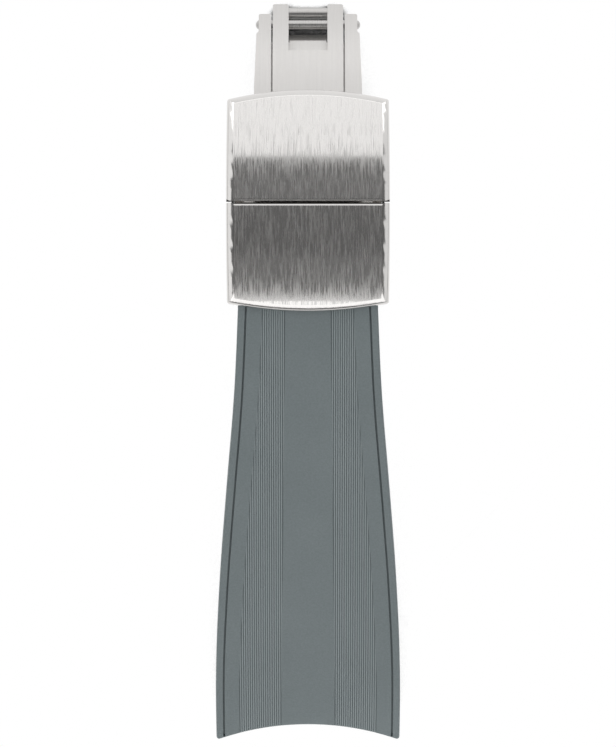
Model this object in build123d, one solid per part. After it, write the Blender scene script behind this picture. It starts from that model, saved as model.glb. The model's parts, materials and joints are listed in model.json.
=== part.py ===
from build123d import *
import os
from math import atan2, cos, degrees, hypot, radians, sin, sqrt

# One half of a rubber dive strap, from its lug end to its folding steel clasp.
# Lengths are in mm and angles in degrees.
# The clasp is drawn in a side view, Y along the strap and Z away from the wrist,
# about one centre of curvature, and the whole is then set down at rest.

# Fits between pieces
running_gap = 0.04          # radial, a pin that turns or slides in its hole
snug_gap = 0.01             # radial, a pin that is pressed or riveted in
side_gap = 0.12             # sideways, between faces that slide past each other
face_gap = 0.25             # between flat faces of pieces that move apart
overrun = 1.0               # how far a cutting tool runs past what it cuts
angle_overrun = 20.0        # the same, round the clasp's centre

# Rubber strap
strap_width_clasp = 16.0
strap_width_lug = 21.6
strap_thickness_clasp = 3.8
strap_thickness_lug = 4.6
strap_long_radius = 190.0   # gentle bow of the long stretch
strap_end_radius = 34.0     # tighter bow at the lug end
strap_bend_angle = 28.0     # slope where the tighter bow starts
strap_end_angle = 55.0      # slope of the top face at the lug corners
strap_lead_in = 0.6         # full thickness that runs on under the flap's front edge
watch_case_radius = 21.7    # the lug end hugs a round case
lug_bore_radius = 0.95
lug_bore_inset = 2.2        # from the middle of the lug end to the bore's axis
edge_groove_inset = 0.8
edge_groove_width = 0.22
edge_groove_depth = 0.35
band_outer_inset = 2.75     # from the strap's edge to the recessed band
band_inner_clasp = 2.6      # half-width of the raised middle, at the clasp
band_inner_lug = 3.15
band_depth = 0.3
# Along the length, and how much of the flare is reached there
flare_shares = ((0.0, 0.0), (0.2, 0.17), (0.42, 0.5), (0.63, 0.8), (0.83, 0.98), (1.0, 1.0))
flare_start_share = 0.045   # sideways step for each step along, where the flare starts

# Clasp cover and safety flap
crown_radius = 38.0         # top face
strap_side_room = 0.5       # between the rubber and the flap's walls
cover_barrel = 0.1          # how much the sides bulge
cover_front = 10.2          # from the crown line to the flap's front end, along the top
cover_rear = 15.8           # from the crown line to the rear end, along the top
rear_bow = 1.14             # how far the rear edge bows out
front_bow = 0.94
cover_plate = 1.0
cover_wall = 1.0
cover_depth = 5.0
bevel_width = 0.65
bevel_drop = 0.4
cover_corner_fillet = 0.45  # upright corners, below the mitred bevel
flap_split = 2.32           # from the crown line back to the split, along the top
flap_plate = 0.8
flap_wall = 0.85
flap_lift = 0.2             # gap between the flap and the cover below it
split_gap = 0.14
flap_pin_depth = 1.2        # flap pin's axis below the top face
flap_pin_radius = 0.3
flap_ear_radius = 0.6
inner_plate = 0.8
inner_wall = 1.0
inner_front_inset = 1.9     # cover's inner half stops short of the flap's front end
bridge_floor = 0.7          # wall left under the flap's turning end
bridge_back = 3.0           # bridge runs on behind the split
adjust_hole_radius = 0.5
adjust_hole_depth = 2.8     # below the top face
adjust_pitch = 2.8
adjust_first_reach = 6.0    # from the crown line to the first pair of holes
adjust_pair_count = 3

# Blades, which nest in each other under the cover
blade_drop = 4.5            # blades' top faces below the cover's top face
blade_room = 1.165          # between the arms and the cover's inner walls
blade_side_gap = 0.19       # between the arms and the middle blade
middle_thickness = 1.2
blade_hinge_reach = 26.04   # from the crown line to the blades' hinge
blade_tail = 2.76           # middle blade runs on past the hinge
blade_tail_thickness = 1.7
prong_width = 1.825         # each prong of the fork at the middle blade's end
fork_reach = 5.0            # from the hinge back to the bottom of the fork
fork_fillet = 0.3
blade_tip_fillet = 0.27
base_thickness = 0.75
arm_width_tip = 1.45
arm_width_root = 1.95
arm_head_recess = 0.25      # outside of the arm is milled back round the pin's head
arm_head_length = 1.1
arm_end_reach = 0.96        # from the hinge's axis to the arm's end
base_cutback = 2.0          # base stops this far before the hinge, beside its tongue
tongue_side_gap = 0.1
tongue_end = 0.6            # from the hinge's axis to the tongue's thin end
tongue_thickness = 0.4
tongue_relief = 2.3         # from the hinge's axis to where the tongue gets thin
blade_pin_radius = 0.55
blade_pin_dome = 0.35
stop_bar_reach = 2.0        # from the hinge's axis to the stop bar's
stop_bar_radius = 0.72
stop_bar_crown = 0.06
stop_bar_end_radius = 0.45

# Bars and latch at the clasp's front end
bar_drop = 3.6              # strap bar and catch bar below the cover's top face
bar_inset = 1.26            # from the flap's front end to the strap bar
nose_radius = 1.4           # rubber round the strap bar
ear_radius = 1.35           # inner blade's ears round the bars
catch_bar_radius = 0.6
jaw_room = 1.0              # between the strap's nose and the catch bar
knuckle_room = 1.43         # between the catch bar and the cover's hinge
cover_pin_radius = 0.6
knuckle_radius = 1.15
jaw_thickness = 0.35
jaw_gap = 1.3
jaw_width = 2.8
jaw_tip = 0.6               # jaws run on past the catch bar's axis
jaw_foot = 3.4              # length of the strip that joins the jaws
fold_ratio = 0.87           # turn of the cover for each turn of the middle blade
rivet_radius = 0.4
rivet_head_radius = 0.58
rivet_head_height = 0.2
rivet_head_room = 0.22      # between a rivet's head and the jaws
rivet_edge = 0.9            # from a rivet's axis to the end of the strip

# Strap bar
bar_tube_radius = 0.75
bar_tube_bore = 0.52
bar_tube_lip = 0.3
bar_tip_radius = 0.42
bar_tip_reach = 1.1         # how far each tip stands in its ear
bar_collar_radius = 0.48
bar_collar_length = 0.5
bar_spring_wire = 0.14
bar_spring_turn_count = 6
bar_spring_side_count = 8   # of each turn, which the tube hides

# Radii of the clasp's layers, from its centre of curvature
wall_foot = crown_radius - cover_depth
blade_top = crown_radius - blade_drop
middle_under = blade_top - middle_thickness
base_top = middle_under - face_gap
base_under = base_top - base_thickness
tail_under = blade_top - blade_tail_thickness
hinge_level = blade_top - blade_tail_thickness / 2
bar_level = crown_radius - bar_drop
flap_under = crown_radius - flap_plate
inner_top = flap_under - flap_lift
inner_under = inner_top - inner_plate
flap_pin_level = crown_radius - flap_pin_depth
strap_top = flap_under - face_gap
strap_under = strap_top - strap_thickness_clasp

# Half-widths across the clasp, from the flap's walls inwards
flap_inner_half = strap_width_clasp / 2 + strap_side_room
cover_half = flap_inner_half + flap_wall
cover_width = 2 * cover_half
inner_half = flap_inner_half - side_gap
inner_wall_half = inner_half - inner_wall
arm_outer = inner_wall_half - blade_room
arm_inner = arm_outer - arm_width_root
middle_half = arm_inner - blade_side_gap
fork_half = middle_half - prong_width
base_tongue_half = fork_half - tongue_side_gap
strap_tongue_half = arm_inner - side_gap
bar_tube_half = arm_inner - face_gap

# Latch spring's widths, from the jaws outwards
rivet_spread = jaw_width + 2 * (rivet_head_radius + rivet_head_room)
jaw_foot_width = rivet_spread + 2 * rivet_edge

# From the flap's pin to the flap's rear edge, which turns round it
flap_edge_reach = hypot(flap_pin_depth, flap_pin_depth)


def turn(length, radius):
    """Angle that a length takes up along an arc."""
    return degrees(length / radius)


# Angles of the clasp's stations, from the crown line, positive towards the blades' end
front_angle = -turn(cover_front, crown_radius)
rear_angle = turn(cover_rear, crown_radius)
split_angle = turn(flap_split, crown_radius)
flap_pin_angle = split_angle - turn(flap_pin_depth, flap_pin_level)
bar_angle = front_angle + turn(bar_inset, crown_radius)
catch_angle = bar_angle + turn(nose_radius + jaw_room + catch_bar_radius, bar_level)
cover_pin_angle = catch_angle + turn(catch_bar_radius + knuckle_room + knuckle_radius, bar_level)
hinge_angle = turn(blade_hinge_reach, hinge_level)
arm_end_angle = hinge_angle + turn(arm_end_reach, hinge_level)
tail_end_angle = hinge_angle + turn(blade_tail, hinge_level)
split_edge_angle = split_angle + turn(split_gap, crown_radius)
inner_front_angle = front_angle + turn(inner_front_inset, inner_top)
strap_start_slope = -front_angle


def polar(radius, angle):
    """Point of the clasp's side view, at a radius and an angle from the crown line."""
    return Vector(radius * sin(radians(angle)), radius * cos(radians(angle)))


bar_axis = polar(bar_level, bar_angle)
catch_axis = polar(bar_level, catch_angle)
cover_pin_axis = polar(bar_level, cover_pin_angle)
hinge_axis = polar(hinge_level, hinge_angle)
stop_axis = polar(hinge_level, hinge_angle + turn(stop_bar_reach, hinge_level))
flap_pin_axis = polar(flap_pin_level, flap_pin_angle)


def outward(slope):
    """Direction square to the strap's top face where that face falls at a slope."""
    return Vector(-sin(radians(slope)), cos(radians(slope)))


def along(slope):
    """Direction along the strap, towards its lug end."""
    return Vector(-cos(radians(slope)), -sin(radians(slope)))


strap_start = strap_top * outward(strap_start_slope)
long_centre = strap_start - strap_long_radius * outward(strap_start_slope)
bend_point = long_centre + strap_long_radius * outward(strap_bend_angle)
end_centre = bend_point - strap_end_radius * outward(strap_bend_angle)
end_point = end_centre + strap_end_radius * outward(strap_end_angle)


def strap_point(slope, depth=0):
    """Point of the strap's side view under the spot where the top face has that slope."""
    if slope <= strap_bend_angle:
        return long_centre + (strap_long_radius - depth) * outward(slope)
    return end_centre + (strap_end_radius - depth) * outward(slope)


def strap_depth(slope):
    """Strap's thickness, which grows steadily from the clasp to the lug end."""
    share = (slope - strap_start_slope) / (strap_end_angle - strap_start_slope)
    return strap_thickness_clasp + share * (strap_thickness_lug - strap_thickness_clasp)


case_chord = sqrt(watch_case_radius**2 - (strap_width_lug / 2) ** 2)
lug_hollow = watch_case_radius - case_chord
lug_bore_slope = strap_end_angle - turn(lug_hollow + lug_bore_inset, strap_end_radius)
lug_bore_axis = strap_point(lug_bore_slope, strap_depth(lug_bore_slope) / 2)


def side(sketch):
    """Stand a sketch of the side view up in the middle plane."""
    return Plane.YZ * sketch


def across(sketch, low, high):
    """Solid with the side view's outline, from low to high across the strap."""
    return Pos(low, 0, 0) * extrude(side(sketch), high - low, dir=(1, 0, 0))


def disc(centre, radius):
    """Round outline in the side view."""
    return Pos(centre.X, centre.Y) * Circle(radius)


def rod(centre, radius, low, high):
    """Round bar across the strap."""
    return across(disc(centre, radius), low, high)


def both_sides(solid):
    """A piece and its mirror image in the middle plane."""
    return solid + mirror(solid, about=Plane.YZ)


def layer(inner, outer, start, end):
    """Side view of a curved layer between two radii and two angles."""
    middle = (start + end) / 2
    outline = [
        Line(polar(inner, start), polar(outer, start)),
        ThreePointArc(polar(outer, start), polar(outer, middle), polar(outer, end)),
        Line(polar(outer, end), polar(inner, end)),
        ThreePointArc(polar(inner, end), polar(inner, middle), polar(inner, start)),
    ]
    return make_face(outline)


def patch(*points):
    """Side view with straight edges."""
    return make_face(Polyline(*points, close=True))


def strap_side_view():
    """Bowed band that thickens towards the lug end."""
    lead_slope = strap_start_slope - turn(strap_lead_in, strap_top)
    lead_top = strap_top * outward(lead_slope)
    lead_under = strap_under * outward(lead_slope)
    first_half = (strap_start_slope + strap_bend_angle) / 2
    second_half = (strap_bend_angle + strap_end_angle) / 2
    stations = (strap_start_slope, first_half, strap_bend_angle, second_half, strap_end_angle)
    top = [strap_point(slope) for slope in stations]
    under = [strap_point(slope, strap_depth(slope)) for slope in stations]
    outline = [
        Line(lead_under, lead_top),
        Line(lead_top, top[0]),
        ThreePointArc(*top[0:3]),
        ThreePointArc(*top[2:5]),
        Line(top[4], under[4]),
        ThreePointArc(*reversed(under[2:5])),
        ThreePointArc(*reversed(under[0:3])),
        Line(under[0], lead_under),
    ]
    return make_face(outline)


def strap_skin(depth):
    """Side view of everything above a depth under the strap's top face."""
    above = strap_thickness_lug
    first = outward(strap_start_slope)
    last = outward(strap_end_angle)
    low = [
        strap_point(strap_start_slope, depth) - overrun * along(strap_start_slope),
        strap_point(strap_start_slope, depth),
        strap_point((strap_start_slope + strap_bend_angle) / 2, depth),
        strap_point(strap_bend_angle, depth),
        strap_point((strap_bend_angle + strap_end_angle) / 2, depth),
        strap_point(strap_end_angle, depth),
        strap_point(strap_end_angle, depth) + overrun * along(strap_end_angle),
    ]
    outline = [
        Line(low[0], low[1]),
        ThreePointArc(*low[1:4]),
        ThreePointArc(*low[3:6]),
        Line(low[5], low[6]),
        Line(low[6], low[6] + above * last),
        Line(low[6] + above * last, bend_point + above * outward(strap_bend_angle)),
        Line(bend_point + above * outward(strap_bend_angle), low[0] + above * first),
        Line(low[0] + above * first, low[0]),
    ]
    return make_face(outline)


def edge_curve(inset=0):
    """Strap's flared edge in plan, seen from above, moved inwards by an inset."""
    length = strap_start.X - end_point.X
    flare = (strap_width_lug - strap_width_clasp) / 2
    points = [
        (strap_width_clasp / 2 + grown * flare - inset, strap_start.X - share * length)
        for share, grown in flare_shares
    ]
    return Spline(*points, tangents=((flare_start_share, -1), (0, -1)))


def plan_side(curve, inner_start, inner_end):
    """Plan area from an edge curve in to a straight line nearer the middle."""
    first = curve @ 0
    last = curve @ 1
    lead = strap_lead_in + overrun
    outline = [
        curve,
        Line(last, (last.X, last.Y - overrun)),
        Line((last.X, last.Y - overrun), (inner_end, last.Y - overrun)),
        Line((inner_end, last.Y - overrun), (inner_start, first.Y)),
        Line((inner_start, first.Y), (inner_start, first.Y + lead)),
        Line((inner_start, first.Y + lead), (first.X, first.Y + lead)),
        Line((first.X, first.Y + lead), first),
    ]
    return make_face(outline)


def column(plan):
    """Plan area stretched through the strap's whole height."""
    low = end_point.Y - overrun - strap_thickness_lug
    high = crown_radius + overrun
    return Pos(0, 0, low) * extrude(plan, high - low, dir=(0, 0, 1))


def edge_groove():
    """Fine groove that sets off a narrow rim along the strap's edge."""
    ribbon = plan_side(edge_curve(edge_groove_inset), 0, 0)
    ribbon -= plan_side(edge_curve(edge_groove_inset + edge_groove_width), 0, 0)
    return both_sides(column(ribbon) & strap_layer(edge_groove_depth))


def recessed_band():
    """Shallow channel between the raised middle and the raised shoulder."""
    plan = plan_side(edge_curve(band_outer_inset), band_inner_clasp, band_inner_lug)
    return both_sides(column(plan) & strap_layer(band_depth))


def strap_layer(depth):
    """Everything above a depth under the top face, over the whole width."""
    reach = strap_width_lug / 2 + overrun
    return across(strap_skin(depth), -reach, reach)


def strap_nose():
    """Rounded tongue that wraps the strap bar between the inner blade's ears."""
    root_angle = front_angle - turn(strap_lead_in, bar_level)
    web = layer(strap_under, bar_level + nose_radius, root_angle, bar_angle)
    return across(disc(bar_axis, nose_radius) + web, -strap_tongue_half, strap_tongue_half)


def rubber_strap():
    """Flared, bowed band with its grooves, its tongue and its lug bore."""
    reach = strap_width_lug / 2 + overrun
    plan = plan_side(edge_curve(), 0, 0)
    body = across(strap_side_view(), -reach, reach) & both_sides(column(plan))
    seat = Plane(
        origin=(0, *strap_side_centre()),
        x_dir=(1, 0, 0),
        z_dir=(0, outward(strap_end_angle).X, outward(strap_end_angle).Y),
    )
    case = seat * Cylinder(watch_case_radius, 4 * strap_thickness_lug)
    body -= case
    body -= rod(bar_axis, ear_radius + face_gap, -reach, reach)
    body += strap_nose()
    body -= edge_groove()
    body -= recessed_band()
    body -= rod(bar_axis, bar_tube_radius + snug_gap, -reach, reach)
    body -= rod(lug_bore_axis, lug_bore_radius, -reach, reach)
    return body


def strap_side_centre():
    """Centre of the watch case's circle, in the side view."""
    centre = end_point + case_chord * along(strap_end_angle)
    return (centre.X, centre.Y)


def bar_tube():
    """Strap bar's tube, with a lip at each end that keeps its tips in."""
    half = bar_tube_half
    tube = rod(bar_axis, bar_tube_radius, -half, half)
    tube -= rod(bar_axis, bar_tube_bore, -half + bar_tube_lip, half - bar_tube_lip)
    return tube - rod(bar_axis, bar_tip_radius + running_gap, -half, half)


def bar_tip():
    """Right-hand tip of the strap bar, with the collar that stays in the tube."""
    collar_end = bar_tube_half - bar_tube_lip - snug_gap
    collar_start = collar_end - bar_collar_length
    tip = rod(bar_axis, bar_tip_radius, collar_start, arm_inner + bar_tip_reach)
    return tip + rod(bar_axis, bar_collar_radius, collar_start, collar_end)


def bar_spring():
    """Coil spring between the two collars, its turns drawn with straight sides."""
    half = bar_tube_half - bar_tube_lip - bar_collar_length - 2 * snug_gap - bar_spring_wire
    radius = bar_tube_bore - bar_spring_wire - running_gap
    steps = bar_spring_turn_count * bar_spring_side_count
    points = []
    for step in range(steps + 1):
        round_axis = radians(360 * step / bar_spring_side_count)
        place = half * (2 * step / steps - 1)
        points.append((place, radius * cos(round_axis), radius * sin(round_axis)))
    path = Polyline(*points)
    start = Plane(origin=path @ 0, z_dir=path % 0)
    wire = start * Rectangle(bar_spring_wire, bar_spring_wire)
    coil = sweep(wire, path=path, transition=Transition.RIGHT)
    return Pos(0, bar_axis.X, bar_axis.Y) * coil


def arm_plan():
    """Plan of the right-hand arm, which widens towards the strap."""
    rear = hinge_axis.X + arm_end_reach + overrun
    front = bar_axis.X - ear_radius - overrun
    tip_outer = arm_inner + arm_width_tip
    recess_start = hinge_axis.X - arm_head_length
    outline = Polyline(
        (arm_inner, front),
        (arm_outer, front),
        (arm_outer, cover_rear),
        (tip_outer + arm_head_recess, recess_start),
        (tip_outer, recess_start + arm_head_recess),
        (tip_outer, rear),
        (arm_inner, rear),
        close=True,
    )
    return make_face(outline)


def arm():
    """Right-hand arm, with its ear round the two bars and its hinge end."""
    ear_end = catch_angle + turn(ear_radius, bar_level)
    view = layer(base_under, blade_top, bar_angle, arm_end_angle)
    view += layer(base_under, bar_level + ear_radius, bar_angle, ear_end)
    view += disc(bar_axis, ear_radius)
    body = across(view, arm_inner, arm_outer) & column(arm_plan())
    body = fillet(end_corners(body, base_under, blade_top, arm_end_angle), blade_tip_fillet)
    body -= rod(hinge_axis, blade_pin_radius + snug_gap, 0, cover_half)
    body -= rod(bar_axis, bar_tip_radius + running_gap, 0, cover_half)
    return body - rod(catch_axis, catch_bar_radius + snug_gap, 0, cover_half)


def end_corners(body, inner, outer, angle):
    """Upright edges where a blade between two radii ends at an angle."""
    end = polar((inner + outer) / 2, angle)
    near = (outer - inner) / 4

    def is_corner(edge):
        centre = edge.center()
        away = hypot(centre.Y - end.X, centre.Z - end.Y)
        return away < near and abs(edge.tangent_at(0.5).X) < 0.5

    return body.edges().filter_by(is_corner)


def base_plate():
    """Floor of the inner blade, with the thin tongue that the stop bar meets."""
    cut_angle = hinge_angle - turn(base_cutback, base_top)
    relief_angle = hinge_angle - turn(tongue_relief, base_top)
    tip_angle = hinge_angle - turn(tongue_end, base_top)
    half = arm_inner + arm_width_tip / 2
    plate = across(layer(base_under, base_top, bar_angle, relief_angle), -half, half)
    tongue_under = base_top - tongue_thickness
    shelf = layer(tongue_under, base_top, relief_angle, cut_angle)
    wedge = patch(
        polar(tongue_under, cut_angle), polar(base_top, cut_angle), polar(tongue_under, tip_angle)
    )
    return plate + across(shelf + wedge, -base_tongue_half, base_tongue_half)


def inner_blade():
    """Channel-shaped blade that lies on the wrist."""
    return both_sides(arm()) + base_plate()


def middle_blade():
    """Forked blade that nests in the inner blade and carries the cover."""
    shank_angle = cover_pin_angle + turn(2 * knuckle_radius, middle_under)
    view = layer(middle_under, blade_top, shank_angle, hinge_angle)
    view += layer(tail_under, blade_top, hinge_angle, tail_end_angle)
    view += disc(hinge_axis, blade_tail_thickness / 2)
    view += disc(cover_pin_axis, knuckle_radius)
    view += patch(
        polar(middle_under, shank_angle),
        polar(blade_top, shank_angle),
        polar(bar_level + knuckle_radius, cover_pin_angle),
        polar(bar_level - knuckle_radius, cover_pin_angle),
    )
    body = across(view, -middle_half, middle_half) - fork_cut()
    body = fillet(end_corners(body, tail_under, blade_top, tail_end_angle), blade_tip_fillet)
    body -= rod(hinge_axis, blade_pin_radius + running_gap, -cover_half, cover_half)
    body -= rod(stop_axis, stop_bar_end_radius + snug_gap, -cover_half, cover_half)
    return body - rod(cover_pin_axis, cover_pin_radius + running_gap, -cover_half, cover_half)


def fork_cut():
    """Slot between the fork's prongs, with rounded inner corners."""
    bottom_angle = hinge_angle - turn(fork_reach, blade_top)
    far_angle = tail_end_angle + angle_overrun
    floor = polar(middle_under - overrun, bottom_angle)
    far = polar(blade_top, tail_end_angle).X + overrun
    slot = RectangleRounded(2 * fork_half, far - floor.X, fork_fillet)
    view = layer(tail_under - overrun, blade_top + overrun, bottom_angle, far_angle)
    return across(view, -fork_half, fork_half) & column(Pos(0, (floor.X + far) / 2) * slot)


def stop_bar():
    """Bar between the prongs that stops the opening blade at the tongue."""
    gap_half = fork_half - snug_gap
    outline = Polyline(
        (-middle_half, 0),
        (-middle_half, stop_bar_end_radius),
        (-gap_half, stop_bar_end_radius),
        (-gap_half, stop_bar_radius),
        (0, stop_bar_radius + stop_bar_crown),
        (gap_half, stop_bar_radius),
        (gap_half, stop_bar_end_radius),
        (middle_half, stop_bar_end_radius),
        (middle_half, 0),
        close=True,
    )
    bar = revolve(make_face(outline), Axis.X)
    return Pos(0, stop_axis.X, stop_axis.Y) * bar


def blade_hinge_pin():
    """Hinge pin with domed heads outside the arms."""
    flat = arm_inner + arm_width_tip
    tip = flat + blade_pin_dome
    outline = [
        Line((-tip, 0), (tip, 0)),
        TangentArc((tip, 0), (flat, blade_pin_radius), tangent=(0, 1)),
        Line((flat, blade_pin_radius), (-flat, blade_pin_radius)),
        TangentArc((-tip, 0), (-flat, blade_pin_radius), tangent=(0, 1)),
    ]
    pin = revolve(make_face(outline), Axis.X)
    return Pos(0, hinge_axis.X, hinge_axis.Y) * pin


def cover_plan():
    """Plan of the closed cover, with bowed ends and barely bulging sides."""
    half = cover_half
    corner = half - cover_barrel
    rear = crown_radius * sin(radians(rear_angle))
    front = crown_radius * sin(radians(front_angle))
    middle = (rear + front) / 2
    outline = [
        ThreePointArc((-corner, rear - rear_bow), (0, rear), (corner, rear - rear_bow)),
        ThreePointArc((corner, rear - rear_bow), (half, middle), (corner, front + front_bow)),
        ThreePointArc((corner, front + front_bow), (0, front), (-corner, front + front_bow)),
        ThreePointArc((-corner, front + front_bow), (-half, middle), (-corner, rear - rear_bow)),
    ]
    return make_face(outline)


def cover_blank():
    """Solid crown block with its bevelled top edge, before it is hollowed and split."""
    view = layer(
        wall_foot, crown_radius, front_angle - angle_overrun, rear_angle + angle_overrun
    )
    block = across(view, -cover_width, cover_width) & column(cover_plan())
    top = block.faces().sort_by(lambda face: face.center().Z)[-1]
    block = chamfer(top.edges(), bevel_width, bevel_drop, reference=top)
    return fillet(block.edges().filter_by(Axis.Z), cover_corner_fillet)


def turning_room():
    """Space behind the flap's pin that the flap's end turns through."""
    radius = flap_edge_reach + split_gap / 2
    low = flap_pin_level - radius - overrun
    behind_angle = flap_pin_angle + angle_overrun
    behind = layer(low, crown_radius + overrun, flap_pin_angle, behind_angle)
    return across(disc(flap_pin_axis, radius) & behind, -cover_width, cover_width)


def rear_cover():
    """Full-width rear half of the cover, open below and behind."""
    low = wall_foot - overrun
    far_angle = rear_angle + angle_overrun
    zone = layer(low, crown_radius + overrun, split_edge_angle, far_angle)
    hollow = layer(low, crown_radius - cover_plate, split_edge_angle - angle_overrun, far_angle)
    half = cover_half - cover_wall
    shell = cover_blank() & across(zone, -cover_width, cover_width)
    return shell - across(hollow, -half, half)


def inner_cover():
    """Front half of the cover, stepped in and down under the flap."""
    block = layer(wall_foot, inner_top, inner_front_angle, split_edge_angle)
    hollow = layer(
        wall_foot - overrun,
        inner_under,
        inner_front_angle - angle_overrun,
        split_edge_angle + angle_overrun,
    )
    shell = across(block, -inner_half, inner_half)
    return shell - across(hollow, -inner_wall_half, inner_wall_half)


def cover_bridge():
    """Solid bar across the cover under the split, which ties its two halves together."""
    floor = flap_pin_level - flap_edge_reach - bridge_floor
    end_angle = split_angle + turn(bridge_back, flap_pin_level)
    block = layer(floor, crown_radius - cover_plate / 2, flap_pin_angle, end_angle)
    return across(block, -inner_half, inner_half)


def clasp_cover():
    """Cover body: rear half, inner front half, bridge, hinge holes and adjusting holes."""
    body = rear_cover() + inner_cover() + cover_bridge()
    body -= turning_room()
    body += both_sides(rod(flap_pin_axis, flap_ear_radius, inner_wall_half, inner_half))
    body -= rod(flap_pin_axis, flap_pin_radius + snug_gap, -cover_half, cover_half)
    body -= rod(cover_pin_axis, cover_pin_radius + snug_gap, -cover_half, cover_half)
    for place in rivet_places():
        body -= rivet_shape(place, rivet_radius + snug_gap, 0)
    level = crown_radius - adjust_hole_depth
    for index in range(adjust_pair_count):
        angle = turn(adjust_first_reach + index * adjust_pitch, crown_radius)
        body -= rod(polar(level, angle), adjust_hole_radius, -cover_width, cover_width)
    return body


def safety_flap():
    """Flap that folds over the front half of the cover."""
    low = wall_foot - overrun
    far_angle = front_angle - angle_overrun
    zone = layer(low, crown_radius + overrun, far_angle, split_angle)
    hollow = layer(low, flap_under, far_angle, split_angle + angle_overrun)
    body = cover_blank() & across(zone, -cover_width, cover_width)
    body -= across(hollow, -flap_inner_half, flap_inner_half)
    ear_room = flap_ear_radius + side_gap
    body -= both_sides(rod(flap_pin_axis, ear_room, inner_wall_half - side_gap, flap_inner_half))
    return body - rod(flap_pin_axis, flap_pin_radius + running_gap, -cover_width, cover_width)


def flap_pin():
    """Right-hand stub that the flap turns on."""
    return rod(flap_pin_axis, flap_pin_radius, inner_wall_half, cover_half - cover_barrel)


def latch_direction():
    """Way in which the cover first leaves the catch bar when the clasp is opened."""
    from_hinge = catch_axis - hinge_axis
    from_pin = catch_axis - cover_pin_axis
    lift = Vector(from_hinge.Y, -from_hinge.X)
    swing = fold_ratio * Vector(-from_pin.Y, from_pin.X)
    return (lift + swing).normalized()


def latch_rise():
    """From the catch bar's axis along the latch to the cover's inner plate."""
    way = latch_direction()
    return (inner_under - bar_level) / cos(atan2(way.X, way.Y) - radians(catch_angle))


def jaw(sign):
    """One leg of the latch spring, beside the catch bar."""
    way = latch_direction()
    aside = Vector(way.Y, -way.X) * sign
    near = catch_axis + aside * (jaw_gap / 2)
    far = near + aside * jaw_thickness
    rise = way * latch_rise()
    return patch(near - way * jaw_tip, far - way * jaw_tip, far + rise, near + rise)


def latch_foot_angle():
    """Angle of the middle of the latch spring's foot."""
    top = catch_axis + latch_direction() * latch_rise()
    return degrees(atan2(top.X, top.Y))


def latch_spring():
    """Bent strip whose two legs grip the catch bar."""
    half_foot = turn(jaw_foot / 2, inner_under)
    middle = latch_foot_angle()
    outer = inner_under - snug_gap
    foot = layer(outer - jaw_thickness, outer, middle - half_foot, middle + half_foot)
    ceiling = layer(outer, crown_radius, middle - angle_overrun, middle + angle_overrun)
    legs = (jaw(-1) + jaw(1)) - ceiling
    body = across(legs, -jaw_width / 2, jaw_width / 2)
    body += across(foot, -jaw_foot_width / 2, jaw_foot_width / 2)
    for place in rivet_places():
        body -= rivet_shape(place, rivet_radius + snug_gap, 0)
    return body


def rivet_places():
    """Where the two rivets stand across the strap."""
    return (-rivet_spread / 2, rivet_spread / 2)


def rivet_shape(place, radius, head):
    """Rivet, or the hole for it, square to the cover's inner plate."""
    angle = latch_foot_angle()
    foot = polar(inner_under - jaw_thickness - 2 * snug_gap, angle)
    way = polar(1, angle)
    seat = Plane(origin=(place, foot.X, foot.Y), x_dir=(1, 0, 0), z_dir=(0, way.X, way.Y))
    length = jaw_thickness + inner_plate
    shape = seat * Cylinder(radius, length, align=(Align.CENTER, Align.CENTER, Align.MIN))
    if head:
        button = Cylinder(rivet_head_radius, head, align=(Align.CENTER, Align.CENTER, Align.MAX))
        shape += seat * button
    return shape


def latch_rivets():
    """The two rivets that hold the latch spring in the cover."""
    left, right = (rivet_shape(place, rivet_radius, rivet_head_height) for place in rivet_places())
    return left + right


def catch_bar():
    """Bar between the inner blade's ears that the latch grips."""
    return rod(catch_axis, catch_bar_radius, -arm_outer, arm_outer)


def cover_hinge_pin():
    """Pin on which the cover turns on the middle blade."""
    return rod(cover_pin_axis, cover_pin_radius, -inner_half, inner_half)


def lowest_points():
    """Undersides of the lug end and of the blades' end, which both touch a table."""
    lug = strap_point(strap_end_angle, strap_thickness_lug)
    return lug, polar(tail_under, tail_end_angle)


def rest_place():
    """Sets the part down level, with its origin on the lug bore's axis."""
    lug, tip = lowest_points()
    pitch = degrees(atan2(tip.Y - lug.Y, tip.X - lug.X))
    return Rot(-pitch, 0, 0) * Pos(0, -lug_bore_axis.X, -lug_bore_axis.Y)


def build():
    """Every piece of the strap by its node's name."""
    tip = bar_tip()
    pin = flap_pin()
    return {
        "rubber_strap": rubber_strap(),
        "strap_bar_tube": bar_tube(),
        "strap_bar_tip_right": tip,
        "strap_bar_tip_left": mirror(tip, about=Plane.YZ),
        "strap_bar_spring": bar_spring(),
        "inner_blade": inner_blade(),
        "catch_bar": catch_bar(),
        "middle_blade": middle_blade(),
        "stop_bar": stop_bar(),
        "blade_hinge_pin": blade_hinge_pin(),
        "cover_hinge_pin": cover_hinge_pin(),
        "clasp_cover": clasp_cover(),
        "latch_spring": latch_spring(),
        "latch_rivets": latch_rivets(),
        "safety_flap": safety_flap(),
        "flap_hinge_pin_right": pin,
        "flap_hinge_pin_left": mirror(pin, about=Plane.YZ),
    }


os.makedirs("parts", exist_ok=True)
place_at_rest = rest_place()
for name, solid in build().items():
    export_step(place_at_rest * solid, f"parts/{name}.step")
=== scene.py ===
import json
from math import copysign, cos, hypot, pi, radians, sin, sqrt, tan

import bmesh
import bpy
from mathutils import Matrix, Vector


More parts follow.
